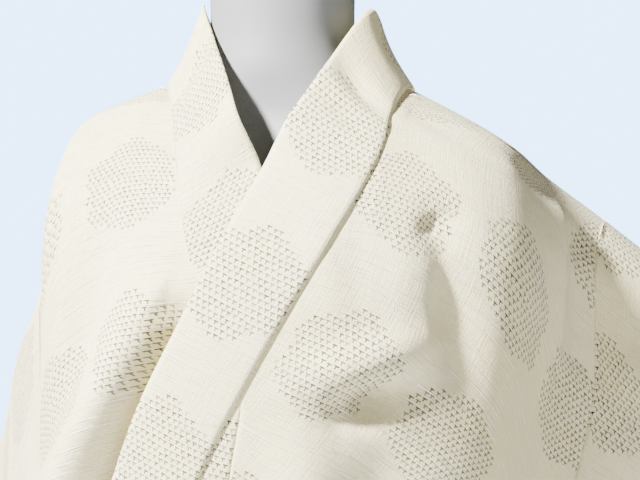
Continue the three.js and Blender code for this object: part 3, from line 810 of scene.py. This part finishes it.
def sleevePoint(half, along, drop, face, folded=True):
    depth = cut["sleeveDepth"]
    sewn = min(drop, cut["sleeveSeam"])
    top = ridgePoint(half, cut["bodyHalf"])
    seamFront = frontPoint(half, cut["sideAngle"], sewn)
    seamBack = backPoint(half, 180 - cut["sideAngle"], sewn)
    start = ridgePoint(half, cut["bodyHalf"] + along)
    stay = 1 - ease(0, 170, along)
    scale = mix((top.z - cut["hemZ"]) / fullDrop, 1, ease(0, 100, along))
    driftX = (seamFront.x * half["side"] - top.x) * stay
    driftY = ((seamFront.y + seamBack.y) / 2 - top.y) * stay
    halfAtSeam = (seamBack.y - seamFront.y) / 2
    lower = roundOver((depth - drop) / sleeveBag["hemRound"])
    belowCuff = ease(cut["cuffOpening"] - 20, cut["cuffOpening"] + 10, drop)
    width = cut["sleeveWidth"]
    shut = 1 - 0.88 * ease(width - 26, width - 4, along) * belowCuff
    halfAtCuff = sleeveBag["cuffHalf"] * roundOver(drop / 30)
    halfDepth = mix(halfAtSeam, halfAtCuff, ease(0, 260, along)) * lower * shut
    sweep = math.radians(fromTable(half["sweeps"], 2, cut["bodyHalf"] + along))
    turn = sweep * ease(0, 140, along)
    fold = 0.0
    if folded:
        fold = foldHeight(half["sleeveFolds"], along, drop) * ease(0, 30, along) * ease(0, 60, drop)
    clear = 16 * ease(cut["sleeveSeam"] - 40, 440, drop) * (1 - ease(0, 220, along))
    out = halfDepth * face + fold
    x = start.x + driftX + half["sleeveShift"] + clear + math.sin(turn) * out
    return Vector((x * half["side"], start.y + driftY - math.cos(turn) * out, start.z - drop * scale))


def sleevePiece(half, motif):
    alongs = [-1.6, -0.8, 0.2, 1.4, 3, 5] + spaced(8, cut["sleeveWidth"] - 6, 6, 6.5)
    alongs += [cut["sleeveWidth"] - 3, cut["sleeveWidth"] - 1, cut["sleeveWidth"]]
    drops = [0.8, 2, 4, 7, 11, 16, 22, 29] + spaced(36, 466, 6.5, 7.5)
    drops += [471, 475, 478.6, 481.8, 484.6, 486.8, 488.4, 489.4, 489.9]

    def ring(along, folded):
        tuck = rollIn(along + 1.6, 2.4, 3.6) - 1.4 * math.exp(-(((along - 2.4) / 1.9) ** 2))
        line = [sleevePoint(half, along, 0, 1, folded)]
        line += [sleevePoint(half, along, d, 1, folded) for d in drops]
        line.append(sleevePoint(half, along, cut["sleeveDepth"], 1, folded))
        line += [sleevePoint(half, along, d, -1, folded) for d in reversed(drops)]
        middle = sum(p.y for p in line) / len(line)
        pulls = [math.copysign(1, middle - p.y) * min(tuck, abs(middle - p.y)) for p in line]
        return [p + Vector((0, pull, 0)) for p, pull in zip(line, pulls)]

    plain = [ring(a, False) for a in alongs]
    bottom = len(drops) + 1
    cloth = []
    for along, line in zip(alongs, plain):
        cloth.append([(along - motif[0], r - motif[1]) for r in reachAlong(line + line[:1])])
    name = "sleeveLeft" if half is left else "sleeveRight"
    rows = [ring(a, True) for a in alongs]
    centre = sum((p for line in rows for p in line), Vector()) / sum(len(line) for line in rows)
    piece = buildMesh(name, rows, cloth, closed=True, outside=centre * 0.001)
    thicken(piece, sleeveBag["thickness"])
    return piece


sleeveLeft = sleevePiece(left, sleeveBag["leftMotif"])
sleeveRight = sleevePiece(right, sleeveBag["rightMotif"])
print("sleeves", len(sleeveLeft.data.polygons), len(sleeveRight.data.polygons))

# ---------- dress form and stand ----------
# z, width, front, back, middle
formSections = [
    (838, 118, 84, 84, 0),
    (850, 150, 106, 104, 0),
    (880, 160, 114, 112, 0),
    (940, 162, 116, 114, 0),
    (1020, 150, 108, 104, 0),
    (1110, 124, 96, 92, 0),
    (1190, 134, 104, 98, 0),
    (1270, 150, 118, 102, 0),
    (1330, 158, 112, 100, 0),
    (1385, 165, 96, 92, 0),
    (1425, 169.6, 76, 78, 2),
    (1446, 165.2, 63.2, 65.2, 4),
    (1461.2, 158, 56, 60, 6),
    (1471.2, 147, 52, 57, 7),
    (1483.2, 121, 50, 55, 8),
    (1494.2, 90, 50, 54, 8),
    (1502, 74, 51, 54, 9),
    (1510, 65, 52, 54, 9),
    (1522, 59, 52, 53, 10),
    (1540, 56, 52, 52, 12),
    (1600, 56, 52, 52, 12),
    (1612, 52, 48, 48, 12),
    (1617, 42, 38, 38, 12),
]
stand = {"poleRadius": 14, "baseRadius": 165, "baseThick": 8, "baseRound": 3, "clearance": 0.3}


def formPiece():
    around = 96
    levels = [838, 839.5, 841.5, 844, 847, 851, 857] + spaced(866, 1596, 9, 9) + [1601, 1605, 1608.5]
    levels += [1611.5, 1613.8, 1615.6, 1616.6, 1617]
    rows = []
    for z in levels:
        width, front, back, middle = (fromTable(formSections, i, z) for i in (1, 2, 3, 4))
        line = []
        for j in range(around):
            a = j / around * 2 * math.pi
            depth = front if math.cos(a) > 0 else back
            line.append(Vector((width * math.sin(a), middle - depth * math.cos(a), z)))
        rows.append(line)
    return closedTurn("dressForm", rows)


# A closed piece from rings, with both ends filled in by shrinking rings.
def closedTurn(name, rows):
    def capped(row, order):
        centre = sum(row, Vector()) / len(row)
        return [[mix(centre, p, share) for p in row] for share in order]

    full = capped(rows[0], (0.002, 0.5, 0.97)) + rows + capped(rows[-1], (0.97, 0.5, 0.002))
    cloth = [[(0.0, 0.0)] * (len(row) + 1) for row in full]
    return buildMesh(name, full, cloth, closed=True)


def turnedPiece(name, profile, sides):
    rows = [
        [
            Vector((r * math.sin(j / sides * 2 * math.pi), -r * math.cos(j / sides * 2 * math.pi), z))
            for j in range(sides)
        ]
        for r, z in profile
    ]
    return closedTurn(name, rows)


dressForm = formPiece()
poleFoot, poleTop = stand["baseThick"] + stand["clearance"], formSections[0][0] - stand["clearance"]
standPole = turnedPiece(
    "standPole",
    [(stand["poleRadius"], z) for z in (poleFoot, poleFoot + 0.5, poleTop - 0.5, poleTop)],
    48,
)
baseEdge = [
    (
        stand["baseRadius"] - stand["baseRound"] * (1 - math.sin(a * math.pi / 12)),
        stand["baseThick"] - stand["baseRound"] * (1 - math.cos(a * math.pi / 12)),
    )
    for a in (6, 5, 4, 3, 2, 1, 0)
]
baseFoot = [(stand["baseRadius"] - 0.6, 0), (stand["baseRadius"], 0.8)]
standBase = turnedPiece("standBase", baseFoot + baseEdge, 120)
print("form and stand", len(dressForm.data.polygons))

# ---------- materials ----------
class NodeDesk:
    def __init__(self, tree):
        self.tree = tree

    def new(self, kind, **settings):
        node = self.tree.nodes.new(kind)
        for name, value in settings.items():
            setattr(node, name, value)
        return node

    def put(self, socket, value):
        if isinstance(value, bpy.types.NodeSocket):
            self.tree.links.new(value, socket)
        else:
            socket.default_value = value

    def math(self, operation, *values, clamped=False):
        node = self.new("ShaderNodeMath", operation=operation, use_clamp=clamped)
        for socket, value in zip(node.inputs, values):
            self.put(socket, value)
        return node.outputs[0]

    def step(self, value, start, end, low=0.0, high=1.0):
        node = self.new("ShaderNodeMapRange", interpolation_type="SMOOTHSTEP")
        for socket, given in zip(node.inputs, (value, start, end, low, high)):
            self.put(socket, given)
        return node.outputs[0]

    def join(self, x, y, z=0.0):
        node = self.new("ShaderNodeCombineXYZ")
        for socket, value in zip(node.inputs, (x, y, z)):
            self.put(socket, value)
        return node.outputs[0]

    def split(self, vector):
        node = self.new("ShaderNodeSeparateXYZ")
        self.put(node.inputs[0], vector)
        return node.outputs

    def noise(self, vector, scale, detail=2.0, roughness=0.5):
        node = self.new("ShaderNodeTexNoise")
        self.put(node.inputs["Vector"], vector)
        self.put(node.inputs["Scale"], scale)
        self.put(node.inputs["Detail"], detail)
        self.put(node.inputs["Roughness"], roughness)
        return node.outputs["Fac"]

    def chance(self, vector):
        node = self.new("ShaderNodeTexWhiteNoise", noise_dimensions="3D")
        self.put(node.inputs["Vector"], vector)
        return node.outputs


# Sockets of a mix node are given by number, since each kind of mix has its own A and B.
def mixColours(desk, factor, low, high):
    node = desk.new("ShaderNodeMix", data_type="RGBA")
    desk.put(node.inputs[0], factor)
    desk.put(node.inputs[6], low)
    desk.put(node.inputs[7], high)
    return node.outputs[2]


# Hexagons of small resist-dyed marks, on cloth places in metres.
def markGroup():
    group = bpy.data.node_groups.new("hexagonMarks", "ShaderNodeTree")
    group.interface.new_socket("Cloth", in_out="INPUT", socket_type="NodeSocketVector")
    group.interface.new_socket("Mark", in_out="OUTPUT", socket_type="NodeSocketFloat")
    desk = NodeDesk(group)
    entry, leave = desk.new("NodeGroupInput"), desk.new("NodeGroupOutput")
    u, v, _ = desk.split(entry.outputs["Cloth"])
    stepU, stepV = motifShape["markAcross"], motifShape["markDown"]
    row = desk.math("FLOOR", desk.math("DIVIDE", v, stepV))
    rowChance = desk.chance(desk.join(row, 3.1))["Value"]
    odd = desk.math("MULTIPLY", desk.math("MODULO", row, 2.0), 0.5)
    stagger = desk.math("MULTIPLY_ADD", rowChance, 0.22, odd)
    acrossCells = desk.math("ADD", desk.math("DIVIDE", u, stepU), stagger)
    column = desk.math("FLOOR", acrossCells)
    cell = desk.chance(desk.join(column, row, 1.7))
    r, g, b = desk.split(cell["Color"])
    inU = desk.math("SUBTRACT", desk.math("FRACT", acrossCells), 0.5)
    inV = desk.math("SUBTRACT", desk.math("FRACT", desk.math("DIVIDE", v, stepV)), 0.5)
    du = desk.math("MULTIPLY", desk.math("ADD", inU, desk.math("MULTIPLY_ADD", r, 0.2, -0.1)), stepU * 1000)
    dv = desk.math("MULTIPLY", desk.math("ADD", inV, desk.math("MULTIPLY_ADD", g, 0.2, -0.1)), stepV * 1000)

    def stroke(centreU, centreV, halfU, halfV):
        sideU = desk.math("ABSOLUTE", desk.math("SUBTRACT", du, centreU))
        sideV = desk.math("ABSOLUTE", desk.math("SUBTRACT", dv, centreV))
        withinU = desk.step(sideU, halfU + 0.14, halfU - 0.14)
        return desk.math("MULTIPLY", withinU, desk.step(sideV, halfV + 0.14, halfV - 0.14))

    shape = desk.math("MAXIMUM", stroke(0, -0.8, 1.75, 0.52), stroke(0.3, 0.3, 0.48, 1.35))
    strength = desk.math("MULTIPLY_ADD", b, 0.3, 0.7)
    centreV = desk.math("MULTIPLY", desk.math("ADD", row, 0.5), stepV)
    ragged = desk.math("MULTIPLY_ADD", desk.chance(desk.join(row, 9.4))["Value"], 0.006, -0.003)
    centreU = desk.math("SUBTRACT", u, desk.math("MULTIPLY", inU, stepU))
    centreU = desk.math("ADD", centreU, ragged)
    stepU, stepV = motifShape["columnStep"] / 2, motifShape["repeat"] / 2
    awayU = desk.math("ABSOLUTE", desk.math("WRAP", centreU, stepU, -stepU))
    awayV = desk.math("ABSOLUTE", desk.math("WRAP", centreV, stepV, -stepV))
    slanted = desk.math("ADD", desk.math("MULTIPLY", awayU, 0.5), desk.math("MULTIPLY", awayV, 0.866))
    reach = desk.math("MAXIMUM", awayU, slanted)
    half = motifShape["acrossFlats"] / 2
    inside = desk.step(reach, half + 0.0006, half - 0.0006)
    mark = desk.math("MULTIPLY", desk.math("MULTIPLY", shape, strength), inside)
    desk.put(leave.inputs["Mark"], mark)
    return group


# Thick and thin weft yarns, a finer weave between them, and slow changes of tone.
def weaveGroup():
    group = bpy.data.node_groups.new("slubWeave", "ShaderNodeTree")
    group.interface.new_socket("Cloth", in_out="INPUT", socket_type="NodeSocketVector")
    for name in ("Slub", "Grain", "Tone"):
        group.interface.new_socket(name, in_out="OUTPUT", socket_type="NodeSocketFloat")
    desk = NodeDesk(group)
    entry, leave = desk.new("NodeGroupInput"), desk.new("NodeGroupOutput")
    u, v, _ = desk.split(entry.outputs["Cloth"])

    def yarns(perU, perV, layer, detail=1.0):
        scaledU, scaledV = desk.math("MULTIPLY", u, perU), desk.math("MULTIPLY", v, perV)
        return desk.noise(desk.join(scaledU, scaledV, layer), 1.0, detail)

    thick = yarns(22.0, 640.0, 0.0, 2.0)
    thin = yarns(70.0, 900.0, 5.0)
    thinner = desk.math("MULTIPLY", desk.step(thin, 0.6, 0.8), 0.5)
    slub = desk.math("ADD", desk.step(thick, 0.54, 0.70), thinner)
    threads = yarns(900.0, 1500.0, 2.0)
    warps = yarns(700.0, 40.0, 8.0)
    grain = desk.math("ADD", desk.math("MULTIPLY", threads, 0.6), desk.math("MULTIPLY", warps, 0.4))
    tone = desk.noise(entry.outputs["Cloth"], 7.0, 2.0)
    desk.put(leave.inputs["Slub"], slub)
    desk.put(leave.inputs["Grain"], grain)
    desk.put(leave.inputs["Tone"], tone)
    return group


silkLook = {
    "cream": (0.75, 0.695, 0.45, 1),
    "warm": (0.73, 0.665, 0.38, 1),
    "slub": (0.90, 0.89, 0.76, 1),
    "shade": (0.50, 0.40, 0.22, 1),
    "mark": (0.012, 0.011, 0.010, 1),
    "roughness": 0.74,
    "sheen": 0.18,
    "bump": 0.8,
    "bumpDistance": 0.0013,
}


def silkMaterial():
    material = bpy.data.materials.new("slubSilk")
    material.use_nodes = True
    desk = NodeDesk(material.node_tree)
    shader = material.node_tree.nodes["Principled BSDF"]
    place = desk.new("ShaderNodeAttribute", attribute_name="cloth").outputs["Vector"]
    marks = desk.new("ShaderNodeGroup", node_tree=markGroup())
    weave = desk.new("ShaderNodeGroup", node_tree=weaveGroup())
    desk.put(marks.inputs["Cloth"], place)
    desk.put(weave.inputs["Cloth"], place)
    ground = mixColours(desk, desk.step(weave.outputs["Tone"], 0.3, 0.7), silkLook["cream"], silkLook["warm"])
    slubbed = mixColours(desk, desk.math("MULTIPLY", weave.outputs["Slub"], 0.9), ground, silkLook["slub"])
    shade = desk.math("MULTIPLY", desk.step(weave.outputs["Grain"], 0.35, 0.7), 0.34)
    grained = mixColours(desk, shade, slubbed, silkLook["shade"])
    colour = mixColours(desk, desk.math("MULTIPLY", marks.outputs["Mark"], 0.97), grained, silkLook["mark"])
    desk.put(shader.inputs["Base Color"], colour)
    height = desk.math("ADD", desk.math("MULTIPLY", weave.outputs["Slub"], 0.7), weave.outputs["Grain"])
    bump = desk.new("ShaderNodeBump")
    bump.inputs["Strength"].default_value = silkLook["bump"]
    bump.inputs["Distance"].default_value = silkLook["bumpDistance"]
    desk.put(bump.inputs["Height"], height)
    desk.put(shader.inputs["Normal"], bump.outputs["Normal"])
    shader.inputs["Roughness"].default_value = silkLook["roughness"]
    shader.inputs["Sheen Weight"].default_value = silkLook["sheen"]
    shader.inputs["Sheen Roughness"].default_value = 0.45
    shader.inputs["Specular IOR Level"].default_value = 0.25
    return material


def plainMaterial(name, colour, roughness, metallic=0.0, bumpScale=0.0, stretch=(1, 1, 1)):
    material = bpy.data.materials.new(name)
    material.use_nodes = True
    desk = NodeDesk(material.node_tree)
    shader = material.node_tree.nodes["Principled BSDF"]
    shader.inputs["Metallic"].default_value = metallic
    place = desk.new("ShaderNodeTexCoord").outputs["Object"]
    turn = desk.new("ShaderNodeMapping")
    turn.inputs["Scale"].default_value = stretch
    desk.put(turn.inputs["Vector"], place)
    cloud = desk.noise(turn.outputs["Vector"], 30.0, 3.0)
    darker = tuple(c * 0.93 for c in colour[:3]) + (1,)
    desk.put(shader.inputs["Base Color"], mixColours(desk, cloud, darker, colour))
    desk.put(shader.inputs["Roughness"], desk.step(cloud, 0.2, 0.8, roughness - 0.05, roughness + 0.05))
    if bumpScale:
        bump = desk.new("ShaderNodeBump")
        bump.inputs["Strength"].default_value = 0.2
        bump.inputs["Distance"].default_value = 0.0004
        desk.put(bump.inputs["Height"], desk.noise(turn.outputs["Vector"], bumpScale, 2.0))
        desk.put(shader.inputs["Normal"], bump.outputs["Normal"])
    return material


silk = silkMaterial()
shell = plainMaterial("formShell", (0.20, 0.21, 0.22, 1), 0.5, bumpScale=900.0)
steel = plainMaterial("brushedSteel", (0.62, 0.63, 0.64, 1), 0.34, metallic=0.9, stretch=(1, 1, 0.06))
thread = plainMaterial("whiteThread", (0.88, 0.88, 0.86, 1), 0.7)
floorPaint = plainMaterial("paleFloor", (0.80, 0.82, 0.86, 1), 0.8)
for piece in (bodyLeft, bodyRight, overlapLeft, overlapRight, collar, sleeveLeft, sleeveRight):
    piece.data.materials.append(silk)
dressForm.data.materials.append(shell)
standPole.data.materials.append(steel)
standBase.data.materials.append(steel)


# ---------- thread tacks where the collar and the sleeves meet the ridge ----------
tackLook = {"length": 0.006, "radius": 0.00035, "bend": 0.0016, "seed": 7}


def threadGroup(material):
    group = bpy.data.node_groups.new("threadTacks", "GeometryNodeTree")
    face = group.interface
    face.new_socket("Geometry", in_out="INPUT", socket_type="NodeSocketGeometry")
    for name, kind in (("Length", "Float"), ("Radius", "Float"), ("Bend", "Float"), ("Seed", "Int")):
        face.new_socket(name, in_out="INPUT", socket_type="NodeSocket" + kind)
    face.new_socket("Geometry", in_out="OUTPUT", socket_type="NodeSocketGeometry")
    desk = NodeDesk(group)
    entry, leave = desk.new("NodeGroupInput").outputs, desk.new("NodeGroupOutput")
    half = desk.math("MULTIPLY", entry["Length"], 0.5)
    arc = desk.new("GeometryNodeCurveQuadraticBezier")
    desk.put(arc.inputs["Resolution"], 8)
    desk.put(arc.inputs["Start"], desk.join(desk.math("MULTIPLY", half, -1.0), 0.0))
    desk.put(arc.inputs["Middle"], desk.join(0.0, 0.0, entry["Bend"]))
    desk.put(arc.inputs["End"], desk.join(half, 0.0))
    ring = desk.new("GeometryNodeCurvePrimitiveCircle")
    desk.put(ring.inputs["Resolution"], 6)
    desk.put(ring.inputs["Radius"], entry["Radius"])
    tube = desk.new("GeometryNodeCurveToMesh")
    desk.put(tube.inputs["Fill Caps"], True)
    desk.put(tube.inputs["Curve"], arc.outputs[0])
    desk.put(tube.inputs["Profile Curve"], ring.outputs[0])
    chance = desk.new("FunctionNodeRandomValue", data_type="FLOAT_VECTOR")
    desk.put(chance.inputs[0], (-0.25, -0.25, -0.6))
    desk.put(chance.inputs[1], (0.25, 0.25, 0.6))
    desk.put(chance.inputs["Seed"], entry["Seed"])
    spread = desk.new("GeometryNodeInstanceOnPoints")
    desk.put(spread.inputs["Points"], entry["Geometry"])
    desk.put(spread.inputs["Instance"], tube.outputs[0])
    desk.put(spread.inputs["Rotation"], chance.outputs[0])
    real = desk.new("GeometryNodeRealizeInstances")
    desk.put(real.inputs[0], spread.outputs[0])
    paint = desk.new("GeometryNodeSetMaterial")
    desk.put(paint.inputs["Material"], material)
    desk.put(paint.inputs["Geometry"], real.outputs[0])
    desk.put(leave.inputs[0], paint.outputs[0])
    return group


def socketOf(group, name):
    for item in group.interface.items_tree:
        if item.item_type == "SOCKET" and item.in_out == "INPUT" and item.name == name:
            return item.identifier
    raise KeyError(name)


def tackPiece(name, places, material):
    mesh = bpy.data.meshes.new(name)
    mesh.from_pydata([p * 0.001 for p in places], [], [])
    seeds = addObject(name + "Seeds", mesh)
    group = threadGroup(material)
    grow = seeds.modifiers.new("threadTacks", "NODES")
    grow.node_group = group
    for title, key in (("Length", "length"), ("Radius", "radius"), ("Bend", "bend"), ("Seed", "seed")):
        grow[socketOf(group, title)] = tackLook[key]
    shown = seeds.evaluated_get(bpy.context.evaluated_depsgraph_get())
    made = bpy.data.meshes.new_from_object(shown)
    bpy.data.objects.remove(seeds)
    made.polygons.foreach_set("use_smooth", [True] * len(made.polygons))
    return addObject(name, made)


def tackPlaces():
    places = []
    for half in (left, right):
        seam = collarSeamPoint(half, 3, 3, 2.0)
        end = ridgePoint(half, cut["bodyHalf"] - 1)
        places += [seam, Vector((end.x * half["side"], end.y - 1.0, end.z + 1.4))]
    return places


tacks = tackPiece("threadTacks", tackPlaces(), thread)
print("materials and tacks", len(tacks.data.polygons))

# ---------- what each piece stands for ----------
pieces = {
    "body_left": (bodyLeft, "silk"),
    "body_right": (bodyRight, "silk"),
    "overlap_left": (overlapLeft, "silk"),
    "overlap_right": (overlapRight, "silk"),
    "collar": (collar, "silk"),
    "sleeve_left": (sleeveLeft, "silk"),
    "sleeve_right": (sleeveRight, "silk"),
    "dress_form": (dressForm, "form_shell"),
    "stand_pole": (standPole, "stand_metal"),
    "stand_base": (standBase, "stand_metal"),
}
for node, (piece, slot) in pieces.items():
    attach(piece, "root")
    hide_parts(node)
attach(tacks, "root")

# ---------- floor, light and camera ----------
floorMesh = bpy.data.meshes.new("floor")
floorRim = [(4.2 * math.cos(i * math.pi / 48), 4.2 * math.sin(i * math.pi / 48), -0.0005) for i in range(96)]
floorMesh.from_pydata(floorRim, [], [tuple(range(96))])
floorMesh.materials.append(floorPaint)
addObject("floor", floorMesh)

world = bpy.data.worlds.new("paleRoom")
bpy.context.scene.world = world
world.use_nodes = True
roomDesk = NodeDesk(world.node_tree)
roomLight = world.node_tree.nodes["Background"]
roomLight.inputs["Color"].default_value = (1.0, 0.99, 0.90, 1)
roomLight.inputs["Strength"].default_value = 0.24
backdrop = roomDesk.new("ShaderNodeBackground")
backdrop.inputs["Color"].default_value = (0.36, 0.60, 1.0, 1)
backdrop.inputs["Strength"].default_value = 8.0
seen = roomDesk.new("ShaderNodeMixShader")
roomDesk.put(seen.inputs[0], roomDesk.new("ShaderNodeLightPath").outputs["Is Camera Ray"])
roomDesk.put(seen.inputs[1], roomLight.outputs[0])
roomDesk.put(seen.inputs[2], backdrop.outputs[0])
roomDesk.put(world.node_tree.nodes["World Output"].inputs["Surface"], seen.outputs[0])


def areaLight(name, place, target, size, power, colour):
    lamp = bpy.data.lights.new(name, "AREA")
    lamp.shape = "DISK"
    lamp.size = size
    lamp.energy = power
    lamp.color = colour
    holder = addObject(name, lamp)
    holder.location = place
    holder.rotation_mode = "QUATERNION"
    holder.rotation_quaternion = (Vector(target) - Vector(place)).to_track_quat("-Z", "Y")


areaLight("keyLight", (-1.6, -1.75, 3.4), (0.05, 0, 1.3), 0.4, 1020, (1.0, 0.98, 0.92))
areaLight("fillLight", (2.2, -2.6, 1.8), (0, 0, 1.1), 2.0, 45, (1.0, 0.97, 0.90))

cameraShape = {
    "azimuth": 15,
    "elevation": 5,
    "distance": 1.25,
    "target": (0.0279, 0.0195, 1.3808),
    "lens": 90,
}
turn, rise = math.radians(cameraShape["azimuth"]), math.radians(cameraShape["elevation"])
away = Vector((math.sin(turn) * math.cos(rise), -math.cos(turn) * math.cos(rise), math.sin(rise)))
cameraData = bpy.data.cameras.new("camera")
cameraData.lens = cameraShape["lens"]
cameraData.sensor_width = 36
camera = addObject("camera", cameraData)
camera.location = Vector(cameraShape["target"]) + away * cameraShape["distance"]
camera.rotation_mode = "QUATERNION"
camera.rotation_quaternion = (-away).to_track_quat("-Z", "Y")
bpy.context.scene.camera = camera
print("stage and camera")
